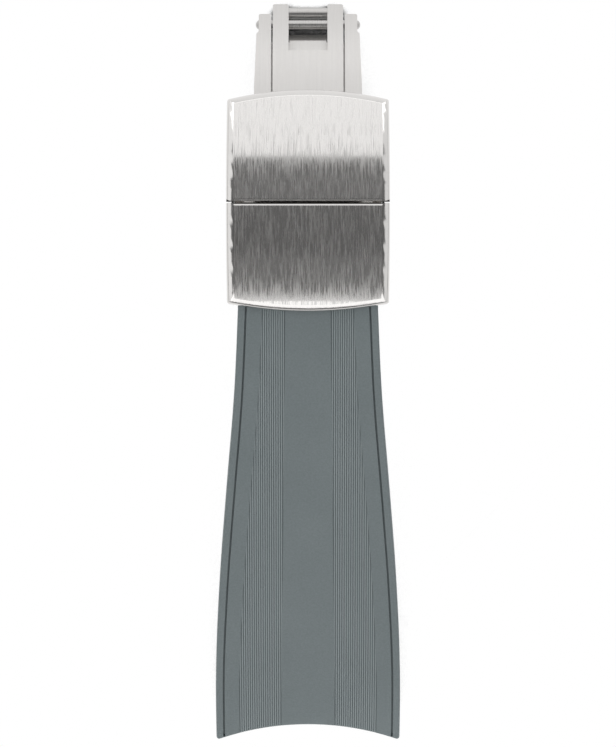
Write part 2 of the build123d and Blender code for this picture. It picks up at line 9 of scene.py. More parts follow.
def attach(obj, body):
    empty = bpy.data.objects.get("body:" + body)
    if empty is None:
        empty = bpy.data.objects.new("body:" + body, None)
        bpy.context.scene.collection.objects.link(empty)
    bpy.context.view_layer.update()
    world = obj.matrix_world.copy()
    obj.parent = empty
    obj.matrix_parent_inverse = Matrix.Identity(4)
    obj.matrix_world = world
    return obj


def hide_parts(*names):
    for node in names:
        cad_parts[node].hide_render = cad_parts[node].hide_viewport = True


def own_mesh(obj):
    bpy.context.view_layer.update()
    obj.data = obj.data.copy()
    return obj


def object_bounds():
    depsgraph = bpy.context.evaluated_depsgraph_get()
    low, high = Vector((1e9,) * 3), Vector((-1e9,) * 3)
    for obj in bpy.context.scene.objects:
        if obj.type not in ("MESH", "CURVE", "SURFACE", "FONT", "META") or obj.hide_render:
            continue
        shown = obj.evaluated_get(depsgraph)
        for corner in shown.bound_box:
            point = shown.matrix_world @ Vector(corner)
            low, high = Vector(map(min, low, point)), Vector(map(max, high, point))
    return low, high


bl_info = {
    "name": "Rubber Dive Strap",
    "version": (1, 0, 0),
    "blender": (4, 5, 0),
    "location": "View3D > Sidebar > Strap",
    "description": "Models and finishes a rubber dive strap with its folding steel clasp",
    "category": "Object",
}

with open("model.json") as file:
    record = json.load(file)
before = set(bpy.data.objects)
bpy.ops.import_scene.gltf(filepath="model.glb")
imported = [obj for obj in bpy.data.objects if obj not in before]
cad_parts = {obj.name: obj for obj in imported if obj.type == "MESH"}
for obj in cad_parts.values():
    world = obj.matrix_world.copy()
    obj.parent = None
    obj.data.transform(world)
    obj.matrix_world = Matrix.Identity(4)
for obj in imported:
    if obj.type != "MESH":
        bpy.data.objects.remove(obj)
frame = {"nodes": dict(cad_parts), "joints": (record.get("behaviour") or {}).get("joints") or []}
cad_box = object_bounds()

MM = 0.001
# Margins for telling points apart, for merging vertices and for cutting along a plane
TOUCH = 0.01 * MM
WELD = 0.002 * MM
CUT = 0.0001 * MM
JOINTS = {joint["name"]: Vector(joint["pos_m"]) for joint in frame["joints"] if "pos_m" in joint}

# Clasp seen from the side: its faces are arcs about one centre
BAR_LEVEL = 34.4 * MM
HINGE_LEVEL = 32.65 * MM
BAR_ANGLE = radians(-13.48)

# Cover and flap, drawn just inside the solids so that no two faces lie on each other
SKIN = 0.02 * MM
CROWN_RADIUS = 38.0 * MM - SKIN
COVER_HALF = 9.35 * MM - SKIN
COVER_REAR = 15.349 * MM - SKIN
COVER_FRONT = -10.078 * MM + SKIN
REAR_BOW = 1.14 * MM
FRONT_BOW = 0.94 * MM
COVER_BARREL = 0.1 * MM
COVER_HEIGHT = 8 * MM
COVER_STRIP = 0.9 * MM
COVER_END_STEPS = 24
COVER_SIDE_STEPS = 9
SPLIT_LINE = 2.389 * MM
SPLIT_HALF = 0.09 * MM
BEVEL_WIDTH = 0.66 * MM
BEVEL_DROP = 0.4 * MM
# Ledge of the cover under the flap
LEDGE_INSET = 0.6 * MM
LEDGE_LEVEL = -0.5 * MM

# Photograph: the camera looks straight down on the strap as it lies pitched by this much
PHOTO_PITCH = radians(9.21)
PHOTO_HEIGHT_PX = 747
PX_PER_MM = 8.75
VIEW_CENTRE = Vector((0, -17.1, 34.0)) * MM
CAMERA_DISTANCE = 0.712
SENSOR = 36.0

# Rubber strap: a flat band, bowed gently and then more tightly at its lug end
STRAP_TOP = 36.95 * MM
START_SLOPE = radians(15.38)
BEND_SLOPE = radians(28)
END_SLOPE = radians(55)
LONG_RADIUS = 190 * MM
END_RADIUS = 34 * MM
LEAD_IN = 0.6 * MM
LONG_STEPS = 22
END_STEPS = 20
CLASP_THICKNESS = 3.8 * MM
LUG_THICKNESS = 4.6 * MM
CLASP_WIDTH = 16.0 * MM
LUG_WIDTH = 21.6 * MM
# Share of the length, share of the flare that is reached there, and how steeply it grows
FLARE = (
    (0.0, 0.0, 0.79),
    (0.2, 0.17, 1.17),
    (0.42, 0.5, 1.47),
    (0.63, 0.8, 1.16),
    (0.83, 0.98, 0.45),
    (1.0, 1.0, 0.0),
)
CASE_RADIUS = 19.6 * MM
CASE_STEPS = 24
LUG_BORE_RADIUS = 0.95 * MM
LUG_BORE_REACH = 5.08 * MM
GROOVE_INSET = 0.8 * MM
GROOVE_WIDTH = 0.22 * MM
GROOVE_DEPTH = 0.35 * MM
GROOVE_STOP = 0.4 * MM
BAND_OUTER_INSET = 2.75 * MM
BAND_INNER_CLASP = 2.6 * MM
BAND_INNER_LUG = 3.15 * MM
BAND_DEPTH = 0.14 * MM
NOSE_RADIUS = 1.4 * MM
NOSE_HALF = 4.145 * MM
NOSE_ROOT_ANGLE = radians(-16.38)
STRAP_UNDER = 33.15 * MM
EAR_ROOM = 1.6 * MM
TUBE_HOLE = 0.76 * MM
ROUND_STEPS = 40

# Softboxes: angles from straight overhead, lengths and how far off they hang
REAR_ANGLES = (radians(24.5), radians(90))
FRONT_ANGLES = (radians(-24.6), radians(-80))
SIDE_ANGLES = (radians(50), radians(72))
REAR_GLOW_START = radians(8)
FRONT_GLOW_START = radians(-10)
END_LENGTH = 1.8
SIDE_LENGTH = 2.2
LAMP_DISTANCE = 0.9

BLADE_PIECES = ("inner_blade", "middle_blade")
GROUND_PIECES = ("blade_hinge_pin", "stop_bar")
PIN_PIECES = (
    "cover_hinge_pin",
    "catch_bar",
    "flap_hinge_pin_left",
    "flap_hinge_pin_right",
    "latch_rivets",
    "strap_bar_tube",
    "strap_bar_tip_left",
    "strap_bar_tip_right",
)
COIL = "strap_bar_spring"


def clasp_centre():
    """Centre of curvature, from the strap bar's and the blade hinge's distances to it."""
    bar = JOINTS["strap_pivot"]
    hinge = JOINTS["blade_fold"]
    apart = hinge - bar
    span = apart.length
    reach = (BAR_LEVEL**2 - HINGE_LEVEL**2 + span**2) / (2 * span)
    drop = sqrt(BAR_LEVEL**2 - reach**2)
    way = apart / span
    square = Vector((0, way.z, -way.y))
    return bar + way * reach + square * drop


CLASP_CENTRE = clasp_centre()
PLACE_AT_REST = Matrix.Translation(CLASP_CENTRE) @ Matrix.Rotation(-PHOTO_PITCH, 4, "X")


def linear(code):
    """Linear colour from an sRGB hex code."""
    channels = [int(code[i : i + 2], 16) / 255 for i in (0, 2, 4)]
    low = [c / 12.92 if c <= 0.04045 else ((c + 0.055) / 1.055) ** 2.4 for c in channels]
    return (*low, 1.0)


def add_node(tree, kind, links=None, **settings):
    """Add a node with its settings and the sockets that feed it."""
    node = tree.nodes.new(kind)
    for name, value in settings.items():
        if name.startswith("in_"):
            key = name[3:]
            key = int(key) if key.isdigit() else key.replace("_", " ")
            node.inputs[key].default_value = value
        else:
            setattr(node, name, value)
    for socket, source in (links or {}).items():
        tree.links.new(source, node.inputs[socket])
    return node


def start_material(name):
    """Empty node material with its output and its Principled shader."""
    material = bpy.data.materials.new(name)
    material.use_nodes = True
    tree = material.node_tree
    tree.nodes.clear()
    shader = add_node(tree, "ShaderNodeBsdfPrincipled")
    add_node(tree, "ShaderNodeOutputMaterial", {"Surface": shader.outputs["BSDF"]})
    return material, tree, shader


def brushed_steel(finish):
    """316L steel, brushed lengthways on a belt.

    The belt leaves fine lines along the strap, so reflections stay sharp along it and
    smear across it. Some lines are deeper and duller than others.
    """
    material, tree, shader = start_material("Belt brushed 316L steel")
    place = add_node(tree, "ShaderNodeTexCoord").outputs["Object"]
    # Lines of 120 grit are just under 0.1 mm apart and some 2 mm long
    across, lengthways = 1 / finish.brush_spacing, 1 / finish.brush_length
    drawn = add_node(
        tree, "ShaderNodeMapping", {"Vector": place}, in_Scale=(across, lengthways, lengthways)
    )
    lines = add_node(
        tree,
        "ShaderNodeTexNoise",
        {"Vector": drawn.outputs["Vector"]},
        in_Scale=1.0,
        in_Detail=2.0,
        in_Roughness=0.6,
    )
    bump = add_node(
        tree,
        "ShaderNodeBump",
        {"Height": lines.outputs["Fac"]},
        in_Strength=0.5,
        in_Distance=0.004 * MM,
    )
    tone = add_node(tree, "ShaderNodeMix", {"Factor": lines.outputs["Fac"]}, data_type="RGBA")
    tone.inputs["A"].default_value = linear(finish.steel_dark_code)
    tone.inputs["B"].default_value = linear(finish.steel_code)
    dull = add_node(
        tree,
        "ShaderNodeMapRange",
        {"Value": lines.outputs["Fac"]},
        in_1=0.42,
        in_2=0.74,
        in_3=0.15,
        in_4=0.56,
    )
    tangent = add_node(tree, "ShaderNodeTangent", direction_type="RADIAL", axis="X")
    tree.links.new(tone.outputs["Result"], shader.inputs["Base Color"])
    tree.links.new(dull.outputs["Result"], shader.inputs["Roughness"])
    tree.links.new(bump.outputs["Normal"], shader.inputs["Normal"])
    tree.links.new(tangent.outputs["Tangent"], shader.inputs["Tangent"])
    shader.inputs["Metallic"].default_value = 1.0
    shader.inputs["Anisotropic"].default_value = 0.95
    shader.inputs["Anisotropic Rotation"].default_value = 0.25
    return material


def polished_steel(finish):
    """316L steel polished on a wheel, with the faint waviness that hand polishing leaves."""
    material, tree, shader = start_material("Polished 316L steel")
    place = add_node(tree, "ShaderNodeTexCoord").outputs["Object"]
    # A polishing wheel leaves waves of a millimetre or so
    waves = add_node(
        tree, "ShaderNodeTexNoise", {"Vector": place}, in_Scale=1 / (1.2 * MM), in_Detail=2.0
    )
    bump = add_node(
        tree,
        "ShaderNodeBump",
        {"Height": waves.outputs["Fac"]},
        in_Strength=0.3,
        in_Distance=0.01 * MM,
    )
    haze = add_node(
        tree,
        "ShaderNodeMapRange",
        {"Value": waves.outputs["Fac"]},
        in_1=0.3,
        in_2=0.7,
        in_3=0.07,
        in_4=0.13,
    )
    tree.links.new(haze.outputs["Result"], shader.inputs["Roughness"])
    tree.links.new(bump.outputs["Normal"], shader.inputs["Normal"])
    shader.inputs["Base Color"].default_value = linear(finish.polished_code)
    shader.inputs["Metallic"].default_value = 1.0
    return material


def satin_steel(finish):
    """316L steel with a fine satin grain, as on stamped blades that are tumbled after cutting."""
    material, tree, shader = start_material("Satin stamped 316L steel")
    place = add_node(tree, "ShaderNodeTexCoord").outputs["Object"]
    # Tumbling grain is about 0.1 mm; it is drawn at 0.3 mm so that it shows
    grain = add_node(
        tree,
        "ShaderNodeTexNoise",
        {"Vector": place},
        in_Scale=1 / (0.3 * MM),
        in_Detail=5.0,
        in_Roughness=0.7,
    )
    # Rolling lines of the sheet, 0.2 mm apart and about 8 mm long
    drawn = add_node(
        tree,
        "ShaderNodeMapping",
        {"Vector": place},
        in_Scale=(1 / (0.2 * MM), 1 / (8 * MM), 1 / (8 * MM)),
    )
    lines = add_node(
        tree,
        "ShaderNodeTexNoise",
        {"Vector": drawn.outputs["Vector"]},
        in_Scale=1.0,
        in_Detail=3.0,
        in_Roughness=0.6,
    )
    tone = add_node(tree, "ShaderNodeMix", {"Factor": lines.outputs["Fac"]}, data_type="RGBA")
    tone.inputs["A"].default_value = linear(finish.blade_dark_code)
    tone.inputs["B"].default_value = linear(finish.blade_code)
    bump = add_node(
        tree,
        "ShaderNodeBump",
        {"Height": grain.outputs["Fac"]},
        in_Strength=0.3,
        in_Distance=0.008 * MM,
    )
    satin = add_node(
        tree,
        "ShaderNodeMapRange",
        {"Value": grain.outputs["Fac"]},
        in_1=0.3,
        in_2=0.7,
        in_3=0.34,
        in_4=0.46,
    )
    tree.links.new(tone.outputs["Result"], shader.inputs["Base Color"])
    tree.links.new(satin.outputs["Result"], shader.inputs["Roughness"])
    tree.links.new(bump.outputs["Normal"], shader.inputs["Normal"])
    shader.inputs["Metallic"].default_value = 1.0
    return material


def turned_steel(name, code, smooth, dull):
    """Bar stock turned on a lathe, with fine rings that vary its sheen."""
    material, tree, shader = start_material(name)
    place = add_node(tree, "ShaderNodeTexCoord").outputs["Object"]
    # Feed marks of the lathe, 0.08 mm apart along the bar
    turned = add_node(
        tree,
        "ShaderNodeMapping",
        {"Vector": place},
        in_Scale=(1 / (0.08 * MM), 1 / (3 * MM), 1 / (3 * MM)),
    )
    rings = add_node(
        tree,
        "ShaderNodeTexNoise",
        {"Vector": turned.outputs["Vector"]},
        in_Scale=1.0,
        in_Detail=2.0,
    )
    sheen = add_node(
        tree,
        "ShaderNodeMapRange",
        {"Value": rings.outputs["Fac"]},
        in_1=0.3,
        in_2=0.7,
        in_3=smooth,
        in_4=dull,
    )
    tree.links.new(sheen.outputs["Result"], shader.inputs["Roughness"])
    shader.inputs["Base Color"].default_value = linear(code)
    shader.inputs["Metallic"].default_value = 1.0
    return material


def spring_steel(finish):
    """Rolled spring steel strip and wire, a little darker than the turned pins."""
    material, tree, shader = start_material("Rolled spring steel")
    place = add_node(tree, "ShaderNodeTexCoord").outputs["Object"]
    # Rolling lines about 0.1 mm apart, across the strip
    rolled = add_node(
        tree,
        "ShaderNodeMapping",
        {"Vector": place},
        in_Scale=(1 / (1 * MM), 1 / (0.1 * MM), 1 / (0.1 * MM)),
    )
    grain = add_node(
        tree,
        "ShaderNodeTexNoise",
        {"Vector": rolled.outputs["Vector"]},
        in_Scale=1.0,
        in_Detail=3.0,
    )
    sheen = add_node(
        tree,
        "ShaderNodeMapRange",
        {"Value": grain.outputs["Fac"]},
        in_1=0.3,
        in_2=0.7,
        in_3=0.2,
        in_4=0.32,
    )
    tree.links.new(sheen.outputs["Result"], shader.inputs["Roughness"])
    shader.inputs["Base Color"].default_value = linear(finish.spring_code)
    shader.inputs["Metallic"].default_value = 1.0
    return material


def moulded_rubber(dark_code, light_code):
    """FKM rubber, compression moulded with a matte, lightly powdered skin.

    The skin has no clear reflections, a faint cloudiness of tone and a grain far finer
    than a millimetre.
    """
    material, tree, shader = start_material("Moulded matte FKM rubber")
    place = add_node(tree, "ShaderNodeTexCoord").outputs["Object"]
    # Cloudiness from the flow of the rubber, some 7 mm across
    clouds = add_node(
        tree, "ShaderNodeTexNoise", {"Vector": place}, in_Scale=1 / (7 * MM), in_Detail=2.0
    )
    # The mould's spark-eroded grain is about 0.05 mm; it is drawn at 0.2 mm so that it shows
    grain = add_node(
        tree,
        "ShaderNodeTexNoise",
        {"Vector": place},
        in_Scale=1 / (0.2 * MM),
        in_Detail=3.0,
        in_Roughness=0.7,
    )
    mottle = add_node(
        tree,
        "ShaderNodeMix",
        {"A": clouds.outputs["Fac"], "B": grain.outputs["Fac"]},
        data_type="FLOAT",
        in_0=0.75,
    )
    tone = add_node(
        tree, "ShaderNodeMix", {"Factor": mottle.outputs["Result"]}, data_type="RGBA"
    )
    tone.inputs["A"].default_value = linear(dark_code)
    tone.inputs["B"].default_value = linear(light_code)
    bump = add_node(
        tree,
        "ShaderNodeBump",
        {"Height": grain.outputs["Fac"]},
        in_Strength=0.3,
        in_Distance=0.02 * MM,
    )
    tree.links.new(tone.outputs["Result"], shader.inputs["Base Color"])
    tree.links.new(bump.outputs["Normal"], shader.inputs["Normal"])
    shader.inputs["Roughness"].default_value = 0.62
    shader.inputs["IOR"].default_value = 1.4
    return material


def finish_nodes(names, material):
    """Give CAD nodes a material."""
    for name in names:
        piece = frame["nodes"][name]
        piece.data.materials.clear()
        piece.data.materials.append(material)


def outward(slope):
    """Square to the strap, away from the wrist, in the clasp's frame."""
    return Vector((0, -sin(slope), cos(slope)))


def along(slope):
    """Along the strap, towards its lug end."""
    return Vector((0, -cos(slope), -sin(slope)))


def polar(level, angle):
    """Point of the clasp's side view at a distance and angle from its centre."""
    return (level * sin(angle), level * cos(angle))


STRAP_START = STRAP_TOP * outward(START_SLOPE)
LONG_CENTRE = STRAP_START - LONG_RADIUS * outward(START_SLOPE)
END_CENTRE = LONG_CENTRE + (LONG_RADIUS - END_RADIUS) * outward(BEND_SLOPE)
END_POINT = END_CENTRE + END_RADIUS * outward(END_SLOPE)
LONG_REACH = LONG_RADIUS * (BEND_SLOPE - START_SLOPE)
FULL_REACH = LONG_REACH + END_RADIUS * (END_SLOPE - BEND_SLOPE)


def slope_at(reach):
    """Slope of the top face at a distance along it."""
    if reach > LONG_REACH:
        return BEND_SLOPE + (reach - LONG_REACH) / END_RADIUS
    return START_SLOPE + max(reach, 0) / LONG_RADIUS


def bowed(flat):
    """Place of a point of the flat band: across, along and above its top face."""
    slope = slope_at(flat.y)
    if flat.y > LONG_REACH:
        place = END_CENTRE + (END_RADIUS + flat.z) * outward(slope)
    else:
        place = LONG_CENTRE + (LONG_RADIUS + flat.z) * outward(slope)
        place += min(flat.y, 0) * along(slope)
    return place + Vector((flat.x, 0, 0))


def strap_depth(slope):
    """Thickness of the strap, which grows steadily towards the lug end."""
    share = (slope - START_SLOPE) / (END_SLOPE - START_SLOPE)
    return CLASP_THICKNESS + share * (LUG_THICKNESS - CLASP_THICKNESS)


def length_share(reach):
    """Share of the strap's length in plan at a distance along its top face."""
    spot = bowed(Vector((0, reach, 0)))
    return min(max((STRAP_START.y - spot.y) / (STRAP_START.y - END_POINT.y), 0), 1)


def half_width(reach):
    """Half of the strap's width, on a smooth curve through the flare's table."""
    share = length_share(reach)
    for (start, low, lean), (stop, high, next_lean) in zip(FLARE, FLARE[1:]):
        if share <= stop:
            step = stop - start
            t = (share - start) / step
            rise = low * (1 + 2 * t) * (1 - t) ** 2 + high * t**2 * (3 - 2 * t)
            rise += step * t * (1 - t) * ((1 - t) * lean - t * next_lean)
            break
    return (CLASP_WIDTH + (LUG_WIDTH - CLASP_WIDTH) * rise) / 2


def stations():
    """Distances along the strap at which its shape is set."""
    end = FULL_REACH - LONG_REACH
    long_run = [LONG_REACH * i / LONG_STEPS for i in range(LONG_STEPS + 1)]
    end_run = [LONG_REACH + end * i / END_STEPS for i in range(1, END_STEPS + 1)]
    return [-LEAD_IN, *long_run, *end_run]


def case_depth(across):
    """How far the round watch case reaches into the strap's end."""
    return sqrt(CASE_RADIUS**2 - across**2) - sqrt(CASE_RADIUS**2 - (LUG_WIDTH / 2) ** 2)


def strap_outline():
    """Outline of the flat strap: one flared edge, the hollow for the case, the other edge."""
    edge = [(half_width(reach), reach) for reach in stations()]
    half = LUG_WIDTH / 2
    hollow = [half - LUG_WIDTH * i / CASE_STEPS for i in range(1, CASE_STEPS)]
    end = [(across, FULL_REACH - case_depth(across)) for across in hollow]
    return edge + end + [(-x, y) for x, y in reversed(edge)]


def ribbon(inner, outer, stop):
    """Outline between two curves that are given as functions of the distance along."""
    reaches = [-3 * LEAD_IN, *(reach for reach in stations() if reach < stop), stop]
    return [(outer(r), r) for r in reaches] + [(inner(r), r) for r in reversed(reaches)]


def band_inner(reach):
    """Edge of the strap's raised middle."""
    return BAND_INNER_CLASP + (BAND_INNER_LUG - BAND_INNER_CLASP) * length_share(reach)


def edit(piece):
    """Select one piece alone and open it in edit mode."""
    bpy.ops.object.select_all(action="DESELECT")
    piece.select_set(True)
    bpy.context.view_layer.objects.active = piece
    bpy.ops.object.mode_set(mode="EDIT")
    bpy.ops.mesh.select_all(action="SELECT")


def stop_edit():
    bpy.ops.object.mode_set(mode="OBJECT")


def choose(piece, kind, test):
    """Select the edges or faces of a piece in edit mode that pass a test."""
    bpy.ops.mesh.select_mode(type="EDGE" if kind == "edges" else "FACE")
    bpy.ops.mesh.select_all(action="DESELECT")
    work = bmesh.from_edit_mesh(piece.data)
    for part in getattr(work, kind):
        if test(part):
            part.select_set(True)
    bmesh.update_edit_mesh(piece.data)


def block(name, outline, low, high):
    """Solid over a plan outline: a disc pulled to the outline and extruded upwards."""
    bpy.ops.object.select_all(action="DESELECT")
    bpy.ops.mesh.primitive_circle_add(vertices=len(outline), radius=MM, fill_type="NGON")
    piece = bpy.context.object
    piece.name = name
    for vertex, (across, up) in zip(piece.data.vertices, outline):
        vertex.co = (across, up, low)
    edit(piece)
    bpy.ops.mesh.extrude_region_move(TRANSFORM_OT_translate={"value": (0, 0, high - low)})
    bpy.ops.mesh.select_all(action="SELECT")
    bpy.ops.mesh.normals_make_consistent(inside=False)
    stop_edit()
    return piece


def rod(name, outline, half):
    """Solid across the strap, over an outline in the side view."""
    piece = block(name, outline, -half, half)
    piece.data.transform(Matrix(((0, 0, 1, 0), (1, 0, 0, 0), (0, 1, 0, 0), (0, 0, 0, 1))))
    return piece


def ring(centre, radius):
    """Round outline in the side view."""
    steps = [2 * pi * i / ROUND_STEPS for i in range(ROUND_STEPS)]
    return [(centre[0] + radius * cos(a), centre[1] + radius * sin(a)) for a in steps]


def apply(piece, kind, **settings):
    """Add a modifier to a piece and apply it."""
    bpy.ops.object.select_all(action="DESELECT")
    piece.select_set(True)
    bpy.context.view_layer.objects.active = piece
    modifier = piece.modifiers.new(kind.title(), kind)
    for name, value in settings.items():
        setattr(modifier, name, value)
    bpy.ops.object.modifier_apply(modifier=modifier.name)


def combine(piece, tool, operation="DIFFERENCE"):
    """Cut a tool out of a piece, or weld it on, and take the tool away."""
    apply(piece, "BOOLEAN", object=tool, operation=operation, solver="EXACT")
    bpy.data.objects.remove(tool)
    if not piece.data.polygons:
        raise RuntimeError(f"{piece.name} was cut away altogether")


def finish_shape(piece, angle):
    """Smooth shading between shallow edges, with flat faces kept flat."""
    bpy.ops.object.select_all(action="DESELECT")
    piece.select_set(True)
    bpy.context.view_layer.objects.active = piece
    bpy.ops.object.shade_smooth_by_angle(angle=angle)
    apply(piece, "WEIGHTED_NORMAL", keep_sharp=True, weight=100)


def flat_strap(form):
    """Flat band with rounded corners and edges."""
    piece = block("strap_body", strap_outline(), -CLASP_THICKNESS, 0)
    corner = LUG_WIDTH / 2 - TOUCH
    edit(piece)
    choose(
        piece,
        "edges",
        lambda edge: all(
            abs(v.co.x) > corner and v.co.y > FULL_REACH - TOUCH for v in edge.verts
        )
        and abs(edge.verts[0].co.z - edge.verts[1].co.z) > MM,
    )
    bpy.ops.mesh.bevel(offset=form.lug_corner, segments=4, affect="EDGES")
    for level, rounding in ((0, form.rim_rounding), (-CLASP_THICKNESS, form.sole_rounding)):
        choose(
            piece,
            "edges",
            lambda edge: all(abs(v.co.z - level) < TOUCH for v in edge.verts)
            and max(v.co.y for v in edge.verts) > -LEAD_IN + TOUCH,
        )
        bpy.ops.mesh.bevel(offset=rounding, segments=3, affect="EDGES")
    stop_edit()
    return piece


def cut_grooves(piece):
    """Fine groove along each edge, which sets off a narrow rim."""
    outline = ribbon(
        lambda reach: half_width(reach) - GROOVE_INSET - GROOVE_WIDTH,
        lambda reach: half_width(reach) - GROOVE_INSET,
        FULL_REACH - case_depth(LUG_WIDTH / 2 - GROOVE_INSET) - GROOVE_STOP,
    )
    tool = block("groove_cutter", outline, -GROOVE_DEPTH, MM)
    apply(tool, "MIRROR")
    combine(piece, tool)


def cut_bands(piece, form):
    """Shallow channel each side of the raised middle, with fine ribs on its floor."""
    outline = ribbon(
        band_inner,
        lambda reach: half_width(reach) - BAND_OUTER_INSET,
        FULL_REACH + LEAD_IN,
    )
    tool = block("band_cutter", outline, -BAND_DEPTH, MM)
    pitch = form.rib_pitch
    radius = 0.42 * pitch
    level = -BAND_DEPTH + form.rib_height - radius
    bpy.ops.object.select_all(action="DESELECT")
    bpy.ops.mesh.primitive_cylinder_add(
        vertices=10,
        radius=radius,
        depth=FULL_REACH * 1.2,
        location=(BAND_INNER_CLASP + 0.75 * pitch, FULL_REACH / 2, level),
        rotation=(pi / 2, 0, 0),
    )
    rib = bpy.context.object
    bpy.ops.object.transform_apply(location=True, rotation=True, scale=True)
    count = int((LUG_WIDTH / 2 - BAND_OUTER_INSET - BAND_INNER_CLASP) / pitch)
    apply(
        rib,
        "ARRAY",
        count=count,
        use_relative_offset=False,
        use_constant_offset=True,
        constant_offset_displace=(pitch, 0, 0),
    )
    combine(tool, rib)
    apply(tool, "MIRROR")
    combine(piece, tool)
    # Painted highlight: faces on the rib crests take the lighter rubber copy (material 1)
    for face in piece.data.polygons:
        edge = half_width(face.center.y) - BAND_OUTER_INSET + TOUCH
        highlighted_rib_top = -BAND_DEPTH + form.rib_height / 2 < face.center.z < -TOUCH
        face.material_index = int(
            highlighted_rib_top and face.normal.z > 0.75 and abs(face.center.x) < edge
        )


def bow(piece):
    """Cut the flat band into short lengths and bow it."""
    edit(piece)
    for reach in stations()[1:-1]:
        bpy.ops.mesh.select_all(action="SELECT")
        bpy.ops.mesh.bisect(plane_co=(0, reach, 0), plane_no=(0, 1, 0), threshold=CUT)
    stop_edit()
    solid = CLASP_THICKNESS - MM
    for vertex in piece.data.vertices:
        flat = vertex.co.copy()
        if flat.z < -MM:
            grown = strap_depth(slope_at(flat.y)) - CLASP_THICKNESS
            flat.z -= grown * (-flat.z - MM) / solid
        vertex.co = bowed(flat)


def nose_outline():
    """Side view of the tongue that wraps the strap bar."""
    bar = polar(BAR_LEVEL, BAR_ANGLE)
    turns = [pi * i / (ROUND_STEPS // 2) for i in range(ROUND_STEPS // 2 + 1)]
    front = [
        (
            bar[0] + NOSE_RADIUS * (cos(t) * sin(BAR_ANGLE) + sin(t) * cos(BAR_ANGLE)),
            bar[1] + NOSE_RADIUS * (cos(t) * cos(BAR_ANGLE) - sin(t) * sin(BAR_ANGLE)),
        )
        for t in turns
    ]
    root = [polar(STRAP_UNDER, NOSE_ROOT_ANGLE), polar(BAR_LEVEL + NOSE_RADIUS, NOSE_ROOT_ANGLE)]
    return front + root


def fit_bars(piece):
    """Room for the blade's ears, the tongue between them and the holes for both spring bars."""
    reach = LUG_WIDTH
    bar = polar(BAR_LEVEL, BAR_ANGLE)
    combine(piece, rod("ear_room", ring(bar, EAR_ROOM), reach))
    combine(piece, rod("tongue", nose_outline(), NOSE_HALF), "UNION")
    combine(piece, rod("tube_hole", ring(bar, TUBE_HOLE), reach))
    slope = END_SLOPE - LUG_BORE_REACH / END_RADIUS
    bore = END_CENTRE + (END_RADIUS - strap_depth(slope) / 2) * outward(slope)
    combine(piece, rod("lug_bore", ring((bore.y, bore.z), LUG_BORE_RADIUS), reach))


class StrapForm(bpy.types.PropertyGroup):
    """Sizes of the rubber's and the clasp's fine details."""

    rib_pitch: bpy.props.FloatProperty(
        name="Rib pitch",
        description="Distance between the ribs of the bands",
        default=0.255 * MM,
        unit="LENGTH",
        precision=5,
    )
    rib_height: bpy.props.FloatProperty(
        name="Rib height",
        description="Height of the ribs of the bands",
        default=0.11 * MM,
        unit="LENGTH",
        precision=5,
    )
    rim_rounding: bpy.props.FloatProperty(
        name="Rim rounding",
        description="Rounding of the strap's upper edges",
        default=0.25 * MM,
        unit="LENGTH",
        precision=5,
    )
    sole_rounding: bpy.props.FloatProperty(
        name="Sole rounding",
        description="Rounding of the strap's lower edges",
        default=0.45 * MM,
        unit="LENGTH",
        precision=5,
    )
    lug_corner: bpy.props.FloatProperty(
        name="Lug corner",
        description="Rounding of the corners beside the watch case",
        default=0.6 * MM,
        unit="LENGTH",
        precision=5,
    )
    crown_rounding: bpy.props.FloatProperty(
        name="Crown rounding",
        description="Polished rounding between the cover's brushed top and its bevel",
        default=0.07 * MM,
        unit="LENGTH",
        precision=5,
    )
    split_rounding: bpy.props.FloatProperty(
        name="Split rounding",
        description="Rounding of the two edges where the flap meets the cover",
        default=0.28 * MM,
        unit="LENGTH",
        precision=5,
    )
    bevel_widening: bpy.props.FloatProperty(
        name="Bevel widening",
        description="How much wider the side bevels are than the bevels at the ends",
        default=0.16 * MM,
        unit="LENGTH",
        precision=5,
    )
    cover_rounding: bpy.props.FloatProperty(
        name="Cover rounding",
        description="Rounding between the cover's bevel and its walls",
        default=0.3 * MM,
        unit="LENGTH",
        precision=5,
    )


class StrapFinish(bpy.types.PropertyGroup):
    """Colours and grain of the strap's finishes."""

    rubber_code: bpy.props.StringProperty(
        name="Rubber", description="Rubber colour as an sRGB hex code", default="8A9395"
    )
    rubber_dark_code: bpy.props.StringProperty(
        name="Rubber shade", description="Darker rubber tone as an sRGB hex code", default="636D6F"
    )
    # Painted highlight: the rib crests take a lighter copy of the rubber, standing for light on the
    # crests and shade between them; the rubber itself is one colour
    rib_highlight_code: bpy.props.StringProperty(
        name="Ribs", description="Rubber colour on the worn tops of the ribs", default="A2ABAD"
    )
    rib_highlight_dark_code: bpy.props.StringProperty(
        name="Rib shade", description="Darker rubber tone on the tops of the ribs", default="838D8F"
    )
    steel_code: bpy.props.StringProperty(
        name="Steel", description="Cover steel colour as an sRGB hex code", default="E8E6E4"
    )
    steel_dark_code: bpy.props.StringProperty(
        name="Brush lines", description="Steel colour in the brush lines", default="E0DEDC"
    )
    blade_code: bpy.props.StringProperty(
        name="Blade steel", description="Blade steel colour as an sRGB hex code", default="D6D4D2"
    )
    blade_dark_code: bpy.props.StringProperty(
        name="Blade lines", description="Blade steel colour in its fine lines", default="CBC9C7"
    )
    polished_code: bpy.props.StringProperty(
        name="Polished steel", description="Colour of the polished bevels", default="E0DEDC"
    )
    # Painted shade: the ground bars' steel is a darker grey than the other steel, standing for the
    # dim light on them between the blade's prongs; their ground finish is in the roughness
    ground_shade_code: bpy.props.StringProperty(
        name="Ground steel",
        description="Colour of the ground hinge and stop bars",
        default="C4C2C0",
    )
    spring_code: bpy.props.StringProperty(
        name="Spring steel", description="Spring colour as an sRGB hex code", default="B4B3AF"
    )
    brush_spacing: bpy.props.FloatProperty(
        name="Brush spacing",
        description="Distance between brush lines",
        default=0.085 * MM,
        unit="LENGTH",
        precision=5,
    )
    brush_length: bpy.props.FloatProperty(
        name="Brush length",
        description="Length of a brush line",
        default=2.2 * MM,
        unit="LENGTH",
        precision=5,
    )


